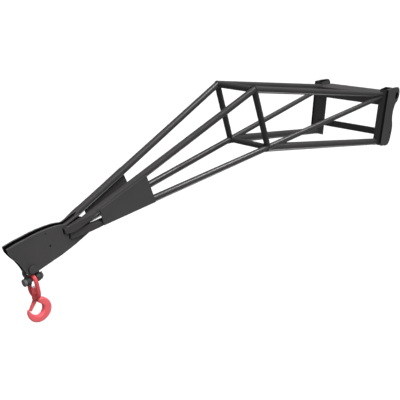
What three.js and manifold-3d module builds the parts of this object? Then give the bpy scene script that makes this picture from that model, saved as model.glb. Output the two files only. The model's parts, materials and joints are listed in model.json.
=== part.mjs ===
// Telehandler lattice jib with head shackle and swivel load hook.
// Millimetres, +X towards the jib nose, +Y to the left side, +Z up.
// Drawn from the coupler datum, then moved so that the origin lies on the
// axis of the hitch bar, midway between the two side plates.
import * as THREE from 'three';
import { mergeVertices } from 'three/addons/utils/BufferGeometryUtils.js';
import Module from 'manifold-3d';

const wasm = await Module();
wasm.setup();

// ---------------------------------------------------------------- dimensions
const GAP = 0.3;               // clearance between touching pieces

// coupler
const FRONT_X = -77;           // front face of posts and side plates
const POST_LOW = [-519, -580]; // lower end of the post at its front and rear face
const POST_IN = 336, POST_OUT = 404.7, POST_REAR = -248, POST_TOP = 84, POST_WALL = 8;
const SIDE_IN = 405, SIDE_OUT = 430;          // side plates, 25 mm
const HITCH = { x: -365, z: -18, barR: 30.15, boreR: 25, bushR: 40 };
const EAR_R = 91;
const LOCK = { x: -333, z: -434, holeR: 16, ringR: 22 };
const BEAM = { top: 34, bottom: -84, rear: -324, t: 10 };
const CROSSBAR = { top: -340, bottom: -414, t: 15 };

// lattice: centre points of the left side; the right side mirrors them
const TOP_0 = [0, 350, 43], LONG_0 = [0, 350, 1], STRUT_0 = [0, 350, -480];
const KNEE_U = [2150, 171.5, 392], NOSE_U = [3811, 39.8, -177.5], NOSE_L = [3780, 32.1, -207];
const KNEE_L = [1933, 187.4, -105.4];         // on the long chord
const CHORD_R = 24.15, CHORD_BORE = 20.5;     // 48.3 x 3.6 tube
const HEAVY_R = 27, HEAVY_BORE = 23.2;        // 54 x 3.8 tube
const STRUT_R = 35, STRUT_BORE = 31;          // 70 x 4 tube
const SIDES = 20, BORE_SIDES = 12;

// head plates
const HEAD_IN = 14, HEAD_OUT = 26;
const SNIPE_U = { x: 3815, y: 34.5, slope: 0.25 }, SNIPE_L = { x: 3766, y: 35.5, slope: 0.2 }, COVER = 4;
const GUSSET_T = 6;
const PIN = { x: 4041, z: -307, r: 13, headR: 24, headT: 8 };
const SPACERS = [[3915, -217, 12], [3935, -135, 12]];

// shackle
const BOLT = { x: 4037, z: -383, r: 12.5 };
const BOW_BAR = 11, BOW_IN = 31.4, EAR_GAP = 18.25, EAR_T = 21.9, SHACKLE_EAR_R = 25;

// hook
const HOOK_TURN = 0;           // swivel angle at rest, degrees about +Z
const EYE_BAR = 11.5, BOSS = { top: -470, bottom: -509, r: 18.5, bore: 12.4 };
const SHANK_R = 12;
const LATCH = { x: 8, z: -520, pinR: 3.2, droop: -54.5, length: 61 };

// ---------------------------------------------------------------- helpers
const colours = {
  paint: [0x444142, 0.42, 0.25], gloss: [0x3a3839, 0.38, 0.3],
  steel: [0x74777a, 0.38, 0.85], shackle: [0x3c4546, 0.45, 0.8],
  red: [0xd9303a, 0.38, 0.1], zinc: [0xb4b6b6, 0.3, 0.9],
};
const group = new THREE.Group();
const root = new THREE.Group();
root.position.set(-HITCH.x, 0, -HITCH.z);
group.add(root);

function add(name, geometry, colour) {
  const [c, r, m] = colours[colour];
  const mesh = new THREE.Mesh(geometry, new THREE.MeshStandardMaterial({ color: c, roughness: r, metalness: m }));
  mesh.name = name;
  root.add(mesh);
  return mesh;
}
function solid(geometry) {
  let g = geometry.clone();
  g.deleteAttribute('normal');
  g.deleteAttribute('uv');
  if (g.index) g = g.toNonIndexed();
  g = mergeVertices(g, 1e-4);
  return new wasm.Manifold(new wasm.Mesh({ numProp: 3,
    vertProperties: Float32Array.from(g.attributes.position.array),
    triVerts: Uint32Array.from(g.index.array) }));
}
function geo(manifold) {
  const m = manifold.getMesh();
  const g = new THREE.BufferGeometry();
  const p = new Float32Array(m.numVert * 3);
  for (let i = 0; i < m.numVert; i++) for (let k = 0; k < 3; k++) p[i * 3 + k] = m.vertProperties[i * m.numProp + k];
  g.setAttribute('position', new THREE.BufferAttribute(p, 3));
  g.setIndex(new THREE.BufferAttribute(Uint32Array.from(m.triVerts), 1));
  return g;
}
// the largest separate body of a cut solid
function main(manifold) {
  const parts = manifold.decompose();
  parts.sort((a, b) => b.volume() - a.volume());
  return parts[0];
}
function box(x0, x1, y0, y1, z0, z1) {
  const g = new THREE.BoxGeometry(x1 - x0, y1 - y0, z1 - z0);
  g.translate((x0 + x1) / 2, (y0 + y1) / 2, (z0 + z1) / 2);
  return solid(g);
}
function shapeOf(points, holes = []) {
  const s = new THREE.Shape(points.map((p) => new THREE.Vector2(p[0], p[1])));
  for (const h of holes) s.holes.push(new THREE.Path(h.map((p) => new THREE.Vector2(p[0], p[1]))));
  return s;
}
function circle(cx, cy, r, n = 20) {
  const pts = [];
  for (let i = 0; i < n; i++) { const a = (i + 0.5) / n * 2 * Math.PI; pts.push([cx + r * Math.cos(a), cy + r * Math.sin(a)]); }
  return pts;
}
// outline in x, z extruded between y0 and y1
function plateXZ(points, y0, y1, holes = []) {
  const g = new THREE.ExtrudeGeometry(shapeOf(points, holes), { depth: y1 - y0, bevelEnabled: false, steps: 1 });
  g.rotateX(Math.PI / 2);
  g.translate(0, y1, 0);
  return g;
}
// outline in x, y extruded between z0 and z1
function prismXY(points, z0, z1, holes = []) {
  const g = new THREE.ExtrudeGeometry(shapeOf(points, holes), { depth: z1 - z0, bevelEnabled: false, steps: 1 });
  g.translate(0, 0, z0);
  return g;
}
function roundRect(x0, x1, y0, y1, r, n = 3) {
  const pts = [];
  const c = [[x1 - r, y1 - r, 0], [x0 + r, y1 - r, 90], [x0 + r, y0 + r, 180], [x1 - r, y0 + r, 270]];
  for (const [cx, cy, a0] of c) for (let i = 0; i <= n; i++) {
    const a = (a0 + 90 * i / n) * Math.PI / 180; pts.push([cx + r * Math.cos(a), cy + r * Math.sin(a)]);
  }
  return pts;
}
// round bar or bore between two points
function rod(a, b, r, n = SIDES) {
  const A = new THREE.Vector3(...a), B = new THREE.Vector3(...b), d = B.clone().sub(A);
  const g = new THREE.CylinderGeometry(r, r, d.length(), n, 1);
  g.rotateY(Math.PI / n);
  g.applyQuaternion(new THREE.Quaternion().setFromUnitVectors(new THREE.Vector3(0, 1, 0), d.clone().normalize()));
  g.translate((A.x + B.x) / 2, (A.y + B.y) / 2, (A.z + B.z) / 2);
  return solid(g);
}
function half(point, normal, size = 6000) {  // everything on the side the normal points to
  const n = new THREE.Vector3(...normal).normalize();
  const g = new THREE.BoxGeometry(size, size, size);
  g.translate(0, 0, size / 2);
  g.applyQuaternion(new THREE.Quaternion().setFromUnitVectors(new THREE.Vector3(0, 0, 1), n));
  g.translate(...point);
  return solid(g);
}
// skin over rings of equal point count, capped at both ends or closed on itself
function loft(rings, closed = false) {
  const n = rings[0].length, p = [], idx = [];
  for (const r of rings) for (const v of r) p.push(v.x, v.y, v.z);
  const R = rings.length;
  for (let i = 0; i < (closed ? R : R - 1); i++) for (let j = 0; j < n; j++) {
    const a = i * n + j, b = i * n + (j + 1) % n, c = ((i + 1) % R) * n + j, d = ((i + 1) % R) * n + (j + 1) % n;
    idx.push(a, b, d, a, d, c);
  }
  if (!closed) {
    const c0 = new THREE.Vector3(), c1 = new THREE.Vector3();
    rings[0].forEach((v) => c0.add(v)); rings[R - 1].forEach((v) => c1.add(v));
    c0.divideScalar(n); c1.divideScalar(n);
    const k0 = R * n, k1 = R * n + 1;
    p.push(c0.x, c0.y, c0.z, c1.x, c1.y, c1.z);
    for (let j = 0; j < n; j++) { idx.push(k0, (j + 1) % n, j); idx.push(k1, (R - 1) * n + j, (R - 1) * n + (j + 1) % n); }
  }
  const g = new THREE.BufferGeometry();
  g.setAttribute('position', new THREE.Float32BufferAttribute(p, 3));
  g.setIndex(idx);
  const m = new wasm.Manifold(new wasm.Mesh({ numProp: 3, vertProperties: new Float32Array(p), triVerts: new Uint32Array(idx) }));
  if (m.volume() > 0) return m;
  const rev = [];
  for (let i = 0; i < idx.length; i += 3) rev.push(idx[i], idx[i + 2], idx[i + 1]);
  return new wasm.Manifold(new wasm.Mesh({ numProp: 3, vertProperties: new Float32Array(p), triVerts: new Uint32Array(rev) }));
}

// ---------------------------------------------------------------- coupler
for (const s of [1, -1]) {
  const side = s > 0 ? 'left' : 'right';
  const ys = (a, b) => s > 0 ? [a, b] : [-b, -a];

  // box post, closed at the top and open at the sloping lower end
  const [p0, p1] = ys(POST_IN, POST_OUT);
  const outer = solid(prismXY(roundRect(POST_REAR, FRONT_X, p0, p1, 8), -640, POST_TOP));
  const inner = solid(prismXY(roundRect(POST_REAR + POST_WALL, FRONT_X - POST_WALL, p0 + POST_WALL, p1 - POST_WALL, 3, 2), -641, POST_TOP - POST_WALL));
  const cut = half([FRONT_X, 0, POST_LOW[0]], [POST_LOW[0] - POST_LOW[1], 0, POST_REAR - FRONT_X]);
  add(`post_${side}`, geo(main(outer.subtract(inner).subtract(cut))), 'paint');

  // thick side plate with the ear that holds the hitch bar
  const pts = [[FRONT_X, 80], [FRONT_X - 8, 87], [-202, 83], [-290, 78]];
  for (let i = 0; i <= 11; i++) {
    const a = (100 + i * (298 - 100) / 11) * Math.PI / 180;
    pts.push([HITCH.x + EAR_R * Math.cos(a), HITCH.z + EAR_R * Math.sin(a)]);
  }
  pts.splice(-3, 3);
  pts.push([-384, -101], [-360, -126], [-340, -160], [-331, -198], [-333, -245], [-350, -297], [-376, -338], [-389, -380], [-391, -425], [-385, -480],
    [-370, -533], [-352, -561], [-322, -575], [-241, -570], [FRONT_X, -508]);
  const [q0, q1] = ys(SIDE_IN, SIDE_OUT);
  add(`side_plate_${side}`, plateXZ(pts, q0, q1, [circle(HITCH.x, HITCH.z, HITCH.bushR + GAP, 24), circle(LOCK.x, LOCK.z, LOCK.ringR + GAP, 18)]), 'paint');

  // ear bush round the end of the hitch bar
  const [b0, b1] = ys(SIDE_IN - 6, SIDE_OUT - 12);
  add(`ear_bush_${side}`, plateXZ(circle(HITCH.x, HITCH.z, HITCH.bushR, 24), b0, b1, [circle(HITCH.x, HITCH.z, HITCH.barR + GAP, 24)]), 'paint');

  // bush in the lock hole, flush with the side plate
  const [r0, r1] = ys(SIDE_IN - GAP, SIDE_OUT - GAP);
  add(`lock_bush_${side}`, plateXZ(circle(LOCK.x, LOCK.z, LOCK.ringR, 18), r0, r1, [circle(LOCK.x, LOCK.z, LOCK.holeR, 18)]), 'steel');
}
add('hitch_bar', plateXZ(circle(HITCH.x, HITCH.z, HITCH.barR, 24), -(SIDE_OUT - 14), SIDE_OUT - 14, [circle(HITCH.x, HITCH.z, HITCH.boreR, 16)]), 'steel');

// folded upper beam: front flange and deep top flange
{
  const b = POST_IN - GAP, t = BEAM.t, f = FRONT_X, rear = BEAM.rear;
  const bend = (cx, cz, r, a0, a1, n) => { const o = []; for (let i = 0; i <= n; i++) { const a = (a0 + (a1 - a0) * i / n) * Math.PI / 180; o.push([cx + r * Math.cos(a), cz + r * Math.sin(a)]); } return o; };
  const pts = [[f - t, BEAM.bottom], [f, BEAM.bottom], ...bend(f - 16, BEAM.top - 16, 16, 0, 90, 5), [rear, BEAM.top], [rear, BEAM.top - t], ...bend(f - 16, BEAM.top - 16, 6, 90, 0, 3)];
  add('upper_beam', plateXZ(pts, -b, b), 'paint');
  add('lower_crossbar', plateXZ(roundRect(f - CROSSBAR.t, f, CROSSBAR.bottom, CROSSBAR.top, 2, 1), -b, b), 'paint');
}

// ---------------------------------------------------------------- lattice
const onSide = (s, p) => [p[0], s * p[1], p[2]];
const V3 = (p) => new THREE.Vector3(...p);
const along = (a, b) => V3(b).sub(V3(a)).normalize().toArray();
const reach = (a, b, before, after) => { const d = along(a, b); return [a.map((v, i) => v - d[i] * before), b.map((v, i) => v + d[i] * after)]; };
const atX = (a, b, x) => { const t = (x - a[0]) / (b[0] - a[0]); return a.map((v, i) => v + (b[i] - v) * t); };

const coupFace = half([FRONT_X + GAP, 0, 0], [-1, 0, 0]);   // all that lies behind the coupler face
function member(s, a, b, before, after, r, n = SIDES) {
  const [A, B] = reach(a, b, before, after);
  return rod(onSide(s, A), onSide(s, B), r, n);
}
for (const s of [1, -1]) {
  const side = s > 0 ? 'left' : 'right';
  // plane that halves the upper knee
  const kneeP = onSide(s, KNEE_U);
  const dr = V3(along(TOP_0, KNEE_U)), df = V3(along(KNEE_U, NOSE_U));
  const u = onSide(s, dr.add(df).normalize().toArray());
  const past = (k) => kneeP.map((v, i) => v + u[i] * k);
  const aheadOfKnee = half(past(-GAP / 2), u);
  const behindKnee = half(past(GAP / 2), u.map((v) => -v));

  // rear top chord, heavy tube from the post to the knee
  let t = member(s, TOP_0, KNEE_U, 200, 80, HEAVY_R).subtract(member(s, TOP_0, KNEE_U, 210, 90, HEAVY_BORE, BORE_SIDES));
  add(`top_chord_rear_${side}`, geo(main(t.subtract(coupFace).subtract(aheadOfKnee))), 'paint');
  const rearBig = member(s, TOP_0, KNEE_U, 200, 80, HEAVY_R + GAP + 0.4).subtract(half(past(1), u));
  const frontBig = member(s, KNEE_U, NOSE_U, 80, 0, CHORD_R + GAP + 0.4).subtract(half(past(-1), u.map((v) => -v)));

  // sniped nose: the outer side of each chord end slopes down to the head plate
  const snipe = (S, inset) => half([S.x, s * (S.y - inset), 0], [S.slope, s, 0]);
  const plateSide = box(3300, 4300, s > 0 ? -200 : -HEAD_OUT - GAP, s > 0 ? HEAD_OUT + GAP : 200, -600, 300);

  // front top chord
  t = member(s, KNEE_U, NOSE_U, 80, 0, CHORD_R).subtract(member(s, KNEE_U, NOSE_U, 90, 10, CHORD_BORE, BORE_SIDES));
  const lowBig = member(s, LONG_0, NOSE_L, 200, 30, CHORD_R + GAP);
  add(`top_chord_front_${side}`, geo(main(t.subtract(behindKnee).subtract(lowBig).subtract(snipe(SNIPE_U, COVER + GAP)).subtract(plateSide))), 'paint');

  // long straight chord, coupler to nose
  t = member(s, LONG_0, NOSE_L, 200, 0, CHORD_R).subtract(member(s, LONG_0, NOSE_L, 210, 10, CHORD_BORE, BORE_SIDES));
  t = t.subtract(coupFace).subtract(member(s, TOP_0, KNEE_U, 200, -900, HEAVY_R + GAP + 0.4)).subtract(snipe(SNIPE_L, COVER + GAP)).subtract(plateSide);
  add(`long_chord_${side}`, geo(main(t)), 'paint');

  // covers over the sniped ends
  const cu = member(s, KNEE_U, NOSE_U, -1200, 0, CHORD_R + 0.6).subtract(snipe(SNIPE_U, 0)).intersect(snipe(SNIPE_U, COVER)).subtract(lowBig).subtract(plateSide);
  add(`end_cover_upper_${side}`, geo(main(cu)), 'paint');
  const upBig = member(s, KNEE_U, NOSE_U, 80, 0, CHORD_R + GAP + 0.8);
  const cl = member(s, LONG_0, NOSE_L, -3300, 0, CHORD_R + 0.6).subtract(snipe(SNIPE_L, 0)).intersect(snipe(SNIPE_L, COVER)).subtract(upBig).subtract(plateSide);
  add(`end_cover_lower_${side}`, geo(main(cl)), 'paint');

  // bottom strut, heavy tube up to the underside of the long chord
  t = member(s, STRUT_0, KNEE_L, 200, 30, STRUT_R).subtract(member(s, STRUT_0, KNEE_L, 210, 40, STRUT_BORE, BORE_SIDES));
  const longBig = member(s, LONG_0, NOSE_L, 200, 0, CHORD_R + GAP + 0.3);
  const aboveLong = half(onSide(s, KNEE_L), [0.055, 0, 1]);
  add(`bottom_strut_${side}`, geo(main(t.subtract(coupFace).subtract(longBig).subtract(aboveLong))), 'paint');

  // knee post
  t = member(s, KNEE_U, KNEE_L, 0, 0, CHORD_R).subtract(member(s, KNEE_U, KNEE_L, 10, 10, CHORD_BORE, BORE_SIDES));
  add(`knee_post_${side}`, geo(main(t.subtract(rearBig).subtract(frontBig).subtract(longBig))), 'paint');
}
// cross tubes between the two sides at the knees
{
  const cross = ([x, y, z]) => rod([x, -y, z], [x, y, z], CHORD_R).subtract(rod([x, -y - 5, z], [x, y + 5, z], CHORD_BORE, BORE_SIDES));
  let u = cross(KNEE_U), l = cross(KNEE_L);
  for (const s of [1, -1]) {
    u = u.subtract(member(s, TOP_0, KNEE_U, 200, 80, HEAVY_R + GAP + 0.3)).subtract(member(s, KNEE_U, NOSE_U, 80, 0, CHORD_R + GAP + 0.3)).subtract(member(s, KNEE_U, KNEE_L, 0, 0, CHORD_R + GAP + 0.3));
    l = l.subtract(member(s, LONG_0, NOSE_L, 200, 0, CHORD_R + GAP + 0.3)).subtract(member(s, STRUT_0, KNEE_L, 200, 30, STRUT_R + GAP + 0.3)).subtract(member(s, KNEE_U, KNEE_L, 0, 0, CHORD_R + GAP + 0.3));
  }
  add('knee_cross_upper', geo(main(u)), 'paint');
  add('knee_cross_lower', geo(main(l)), 'paint');
}

// flat side gussets against the outside of both chords
for (const s of [1, -1]) {
  const up = (x) => V3(atX(KNEE_U, NOSE_U, x)), low = (x) => V3(atX(LONG_0, NOSE_L, x));
  const A = low(3166), ex = low(3573).sub(A).normalize();
  const n = up(3420).sub(A).cross(ex).normalize();
  if (n.y < 0) n.negate();
  const ez = new THREE.Vector3().crossVectors(ex, n).normalize();
  if (ez.z < 0) ez.negate();
  const flat = (p, dz) => { const d = p.clone().sub(A); return [d.dot(ex), d.dot(ez) + dz]; };
  const pts = [flat(low(3164), -11), flat(low(3573), -11), flat(up(3597), 8), flat(up(3244), 8)];
  const g = new THREE.ExtrudeGeometry(shapeOf(pts), { depth: GUSSET_T, bevelEnabled: false, steps: 1 });
  const M = new THREE.Matrix4().makeBasis(ex, ez, new THREE.Vector3().crossVectors(ex, ez));
  const out = new THREE.Vector3().crossVectors(ex, ez);
  const off = CHORD_R + GAP + 0.6;
  g.translate(0, 0, out.y > 0 ? off : -off - GUSSET_T);
  g.applyMatrix4(M);
  g.translate(A.x, A.y, A.z);
  if (s < 0) {                                 // mirrored copy, faces turned back outwards
    g.scale(1, -1, 1);
    const q = g.attributes.position.array;
    for (let i = 0; i < q.length; i += 9) for (let k = 0; k < 3; k++) { const v = q[i + 3 + k]; q[i + 3 + k] = q[i + 6 + k]; q[i + 6 + k] = v; }
  }
  const flush = solid(g).subtract(member(s, KNEE_U, NOSE_U, 80, 0, CHORD_R + GAP + 0.6)).subtract(member(s, LONG_0, NOSE_L, 200, 0, CHORD_R + GAP + 0.6));
  add(`side_gusset_${s > 0 ? 'left' : 'right'}`, geo(main(flush)), 'paint');
}

// ---------------------------------------------------------------- head
{
  const nose = [];
  for (let i = 0; i <= 7; i++) { const a = (-4 - i * 98 / 7) * Math.PI / 180; nose.push([4048 + 33 * Math.cos(a), -306 + 33 * Math.sin(a)]); }
  const outline = [
    [3699, -101], [3731, -107], [3768, -119.5], [3796, -127.5], [3808, -128.5], [3830, -122.5], [3862, -116], [3912, -112.5], [3960, -112], [4005, -114], [4055, -120], [4104, -124.5], [4163, -135],
    [4157, -167], [4141, -198], [4112, -242], [4095, -276], ...nose,
    [4016, -336.5], [3997, -333], [3963, -326], [3930, -320], [3847, -304.5], [3800, -292], [3753, -279], [3686, -256], [3640, -240], [3600, -231], [3572, -225],
    [3577, -220.5], [3613, -208], [3632, -192], [3642, -170], [3658, -150], [3686, -133], [3694, -129], [3756, -143], [3794, -149], [3799, -143], [3794, -137.5], [3769, -129.5], [3733, -117.5], [3697, -109.5],
  ];
  for (const s of [1, -1]) {
    const y = s > 0 ? [HEAD_IN, HEAD_OUT] : [-HEAD_OUT, -HEAD_IN];
    add(`head_plate_${s > 0 ? 'left' : 'right'}`, plateXZ(outline, ...y, [circle(PIN.x, PIN.z, PIN.r + GAP, 20)]), 'paint');
  }
  SPACERS.forEach(([x, z, r], i) => add(`head_spacer_${i + 1}`, plateXZ(circle(x, z, r, 14), -HEAD_IN + GAP, HEAD_IN - GAP), 'paint'));
  // pin with a flat round head on the left, held by a collar on the right
  const shaft = solid(plateXZ(circle(PIN.x, PIN.z, PIN.r, 20), -HEAD_OUT - PIN.headT - 3, HEAD_OUT + GAP + 1));
  add('head_pin', geo(shaft.add(solid(plateXZ(circle(PIN.x, PIN.z, PIN.headR, 24), HEAD_OUT + GAP, HEAD_OUT + PIN.headT)))), 'paint');
  add('pin_collar', plateXZ(circle(PIN.x, PIN.z, PIN.headR, 24), -HEAD_OUT - PIN.headT, -HEAD_OUT - GAP, [circle(PIN.x, PIN.z, PIN.r + GAP, 20)]), 'paint');
}

// ---------------------------------------------------------------- shackle
{
  const crownZ = PIN.z + PIN.r + 1.2;          // inside of the crown rests on the head pin
  const R = BOW_IN + BOW_BAR;
  const cz = crownZ - BOW_IN;                  // centre of the bow's round part
  const ctr = [];
  const legX = EAR_GAP + EAR_T / 2 - 0.4;
  for (let i = 0; i <= 16; i++) { const a = (214 - i * 248 / 16) * Math.PI / 180; ctr.push([BOLT.x + R * Math.cos(a), cz + R * Math.sin(a)]); }
  const leg = [[legX + 0.6, BOLT.z + 14], [legX, BOLT.z]];
  const pts = [[BOLT.x - leg[1][0], leg[1][1]], [BOLT.x - leg[0][0], leg[0][1]], ...ctr, [BOLT.x + leg[0][0], leg[0][1]], [BOLT.x + leg[1][0], leg[1][1]]];
  const curve = new THREE.CatmullRomCurve3(pts.map(([x, z]) => new THREE.Vector3(x, 0, z)), false, 'centripetal');
  const N = 30, rings = [];
  for (let i = 0; i <= N; i++) {
    const c = curve.getPointAt(i / N), tg = curve.getTangentAt(i / N);
    const side = new THREE.Vector3(0, 1, 0), nrm = new THREE.Vector3().crossVectors(side, tg).normalize();
    const ring = [];
    for (let j = 0; j < 10; j++) { const a = j / 10 * 2 * Math.PI; ring.push(c.clone().addScaledVector(nrm, BOW_BAR * Math.cos(a)).addScaledVector(side, BOW_BAR * Math.sin(a))); }
    rings.push(ring);
  }
  let bow = loft(rings);
  for (const s of [1, -1]) bow = bow.add(rod([BOLT.x + s * EAR_GAP, 0, BOLT.z], [BOLT.x + s * (EAR_GAP + EAR_T), 0, BOLT.z], SHACKLE_EAR_R, 20));
  bow = bow.subtract(box(BOLT.x - EAR_GAP, BOLT.x + EAR_GAP, -40, 40, BOLT.z - 40, BOLT.z + 22));
  bow = bow.subtract(rod([BOLT.x - 60, 0, BOLT.z], [BOLT.x + 60, 0, BOLT.z], BOLT.r + GAP, 16));
  for (const s of [1, -1]) { const xs = [BOLT.x + s * (EAR_GAP + EAR_T), BOLT.x + s * 70].sort((a, b) => a - b); bow = bow.subtract(box(...xs, -40, 40, BOLT.z - 30, BOLT.z + 22.5)); }
  add('shackle_bow', geo(main(bow)), 'shackle');
  const e = EAR_GAP + EAR_T;
  const hex = (x0, x1, r) => { const g = new THREE.CylinderGeometry(r, r, x1 - x0, 6, 1); g.rotateZ(Math.PI / 2); g.rotateX(Math.PI / 2); g.translate((x0 + x1) / 2, 0, BOLT.z); return solid(g); };
  let bolt = rod([BOLT.x - e - 23, 0, BOLT.z], [BOLT.x + e + 5, 0, BOLT.z], BOLT.r, 16).add(rod([BOLT.x + e + GAP, 0, BOLT.z], [BOLT.x + e + 14.5, 0, BOLT.z], 21.5, 24));
  bolt = bolt.subtract(rod([BOLT.x - e - 19, 0, BOLT.z - 20], [BOLT.x - e - 19, 0, BOLT.z + 20], 2.6, 8));
  add('shackle_bolt', geo(main(bolt)), 'steel');
  add('shackle_nut', geo(main(hex(BOLT.x - e - 15, BOLT.x - e - GAP, 21.5).subtract(rod([BOLT.x - e - 20, 0, BOLT.z], [BOLT.x - e + 5, 0, BOLT.z], BOLT.r + GAP, 16)))), 'steel');
  // split pin: ring head above, legs through the bolt
  const px = BOLT.x - e - 19;
  let cot = rod([px, 0, BOLT.z - 20], [px, 0, BOLT.z + 14], 2.2, 8);
  const ringG = new THREE.TorusGeometry(5, 1.6, 6, 12);
  ringG.rotateY(Math.PI / 2);
  ringG.translate(px, 0, BOLT.z + 18.5);
  cot = cot.add(solid(ringG));
  add('split_pin', geo(main(cot)), 'zinc');
}

// ---------------------------------------------------------------- hook
{
  const turn = HOOK_TURN * Math.PI / 180, cx = Math.cos(turn), sx = Math.sin(turn);
  const W = (x, y, z) => new THREE.Vector3(BOLT.x + x * cx - y * sx, x * sx + y * cx, z); // hook frame to jib frame
  const turned = (m) => m.rotate([0, 0, HOOK_TURN]).translate([BOLT.x, 0, 0]);

  // swivel eye: oblong ring in the y, z plane, with the boss that carries the shank
  const top = BOLT.z + BOLT.r + GAP + EYE_BAR;
  const halfLoop = [[20, 6], [33, 23], [38, 46], [42, 76], [43, 98], [39.5, 115], [31, 127.5], [17, 136]];
  const ctr = [[0, top], ...halfLoop.map(([y, d]) => [y, top - d]), [0, top - 138.5], ...halfLoop.slice().map(([y, d]) => [-y, top - d]).sort((p, q) => p[1] - q[1])];
  const curve = new THREE.CatmullRomCurve3(ctr.map(([y, z]) => new THREE.Vector3(BOLT.x, y, z)), true, 'centripetal');
  const N = 36, rings = [];
  for (let i = 0; i < N; i++) {
    const c = curve.getPointAt(i / N), tg = curve.getTangentAt(i / N), side = new THREE.Vector3(1, 0, 0), nrm = new THREE.Vector3().crossVectors(side, tg).normalize();
    const ring = [];
    for (let j = 0; j < 10; j++) { const a = j / 10 * 2 * Math.PI; ring.push(c.clone().addScaledVector(nrm, EYE_BAR * Math.cos(a)).addScaledVector(side, EYE_BAR * Math.sin(a))); }
    rings.push(ring);
  }
  let eye = loft(rings, true).add(rod([BOLT.x, 0, BOSS.bottom], [BOLT.x, 0, BOSS.top], BOSS.r, 20));
  eye = eye.subtract(rod([BOLT.x, 0, BOSS.bottom - 5], [BOLT.x, 0, BOSS.top + 5], BOSS.bore, 16));
  // clear the seat above the boss for the nut
  eye = eye.subtract(rod([BOLT.x, 0, BOSS.top], [BOLT.x, 0, BOSS.top + 40], 17, 16));
  add('swivel_eye', geo(main(eye)), 'red');

  // hook body: back edge and throat edge of each section, with its half thickness
  const st = [[-12, -434, 12, -434, 12], [-12, -470, 12, -470, 12], [-12, -509.2, 12, -509.2, 12], [-18, -509.6, 18, -509.6, 16], [-29, -514, 12, -517, 17],
    [-42, -520, 0, -526, 17], [-57, -532, -8, -538, 16.5], [-72, -549, -19, -549, 16.5], [-82, -572, -31, -562, 17], [-85.5, -600, -37, -583, 17],
    [-76.5, -634.5, -33, -603, 17], [-57, -655.5, -24, -616, 17], [-29.5, -667, -12, -622.5, 17], [2, -666.5, 2, -622.5, 17], [31, -652, 16, -614, 16.5],
    [48.5, -631.5, 30, -600, 15.5], [59, -605, 38, -588, 14], [62, -581, 46, -573, 11.5], [58.5, -561, 50, -560, 7]];
  const hr = st.map(([ox, oz, ix, iz, t], i) => {
    const mx = (ox + ix) / 2, mz = (oz + iz) / 2, hx = (ox - ix) / 2, hz = (oz - iz) / 2, ring = [];
    for (let j = 0; j < 14; j++) {
      const a = (j + 0.5) / 14 * 2 * Math.PI, e = i > 4 ? 0.62 : 1;      // squarer section in the bowl
      const ca = Math.sign(Math.cos(a)) * Math.abs(Math.cos(a)) ** e, sa = Math.sign(Math.sin(a)) * Math.abs(Math.sin(a)) ** e;
      ring.push(W(mx + hx * ca, t * sa, mz + hz * ca));
    }
    return ring;
  });
  let hook = loft(hr);
  const lug = (x, z, r, y0, y1, n = 14) => turned(solid(plateXZ(circle(x, z, r, n), y0, y1)));
  const web = turned(solid(plateXZ([[-10, -512], [4, -511.5], [LATCH.x + 5, LATCH.z + 5], [LATCH.x + 4, LATCH.z - 6.5], [LATCH.x - 8, LATCH.z - 7], [-12, -530]], -5.5, 5.5)));
  hook = hook.subtract(lug(LATCH.x, LATCH.z, 12.5, 5.5, 30)).subtract(lug(LATCH.x, LATCH.z, 12.5, -30, -5.5)).add(web).add(lug(LATCH.x, LATCH.z, 8, -5.5, 5.5)).subtract(lug(LATCH.x, LATCH.z, LATCH.pinR + GAP, -12, 12, 10));
  add('hook_body', geo(main(hook)), 'red');

  // swivel nut on top of the shank
  const nutG = new THREE.CylinderGeometry(15, 15, 30, 14, 1);
  nutG.rotateX(Math.PI / 2); nutG.translate(BOLT.x, 0, BOSS.top + GAP + 15);
  add('swivel_nut', geo(main(solid(nutG).subtract(rod([BOLT.x, 0, BOSS.top - 5], [BOLT.x, 0, BOSS.top + 40], SHANK_R + GAP + 0.1, 14)))), 'red');

  // latch: folded channel, open towards the bowl, bearing on the inside of the hook tip
  const px = LATCH.x, pz = LATCH.z, da = LATCH.droop * Math.PI / 180, E = LATCH.length;
  const L = ([a, v]) => [px + a * Math.cos(da) - v * Math.sin(da), pz + a * Math.sin(da) + v * Math.cos(da)];
  const outer = [[-6, -6], [-8.6, 0], [-6, 6], [0, 8.6], [10, 7.5], [E - 8, 5.5], [E, 4], [E, -4], [E - 14, -5.5], [26, -7], [10, -10], [0, -8.6]].map(L);
  let latch = solid(plateXZ(outer, -9.5, 9.5));
  latch = latch.subtract(solid(plateXZ([[-14, -16], [-14, 14], [11, 14], [11, 4.5], [E - 8, 2.8], [E - 3, 1.5], [E - 3, -16]].map(L), -6.2, 6.2)));
  latch = latch.subtract(solid(plateXZ(circle(px, pz, LATCH.pinR + GAP, 10), -20, 20)));
  add('latch', geo(main(turned(latch))), 'red');
  add('latch_pin', geo(main(turned(solid(plateXZ(circle(px, pz, LATCH.pinR, 10), -11.5, 11.5))))), 'zinc');
}

export default group;
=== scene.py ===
import json
import math
import bpy
import bmesh
from mathutils import Matrix, Vector
from mathutils.bvhtree import BVHTree


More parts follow.
